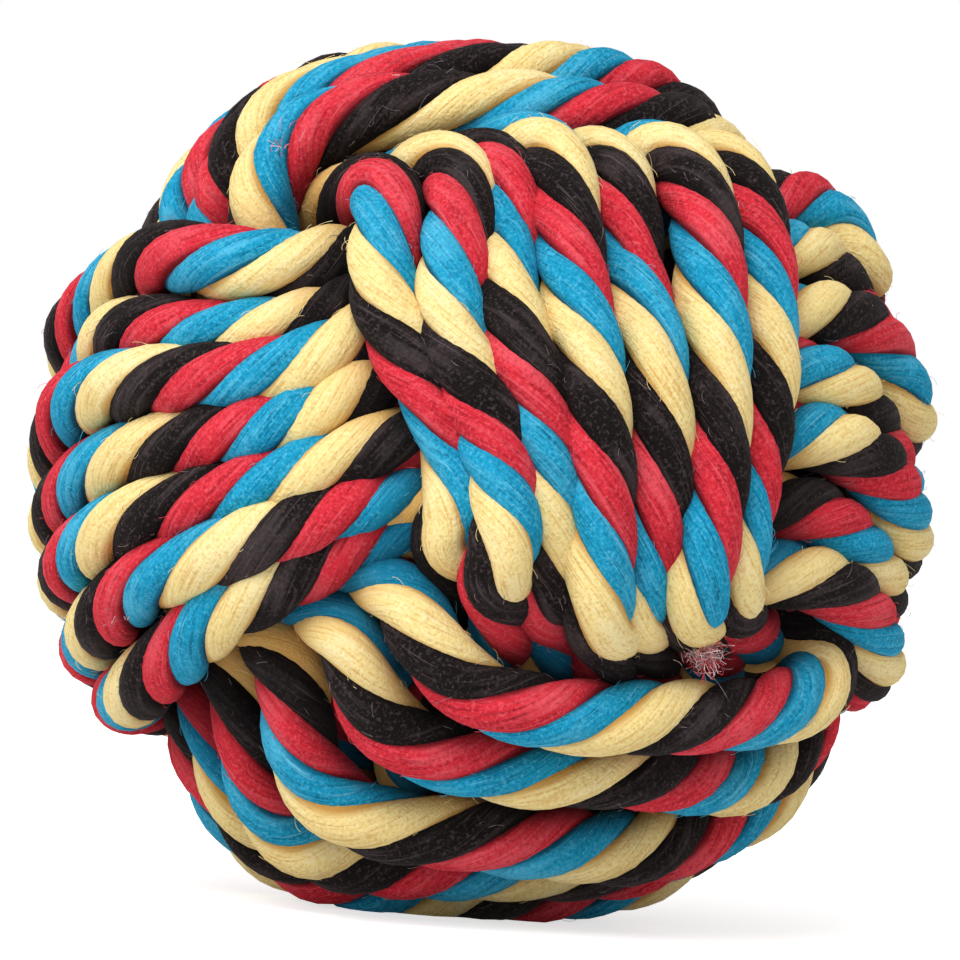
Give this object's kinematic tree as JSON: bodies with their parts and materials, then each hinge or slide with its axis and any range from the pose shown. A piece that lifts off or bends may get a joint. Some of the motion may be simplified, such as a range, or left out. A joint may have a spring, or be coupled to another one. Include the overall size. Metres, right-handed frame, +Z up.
{
  "type": "rope ball dog toy",
  "caption": "Chew and throw toy for dogs: a laid cotton rope in red, blue, yellow and black, knotted into a tight ball of crossing windings round a wound core.",
  "frame": {"origin": "on the floor under the middle of the ball, in the plane of the flat that it rests on", "axes": "+Z up, -Y towards the camera of the picture, +X to the right in the picture"},
  "size_m": [0.0984, 0.0984, 0.0966],
  "materials": {
    "rope": "matte cotton, strands in red, blue, yellow and black",
    "core_cord": "matte undyed cotton"
  },
  "bodies": {
    "root": {"first_winding": "rope", "second_winding": "rope", "third_winding": "rope", "core_ball": "core_cord"}
  },
  "joints": []
}
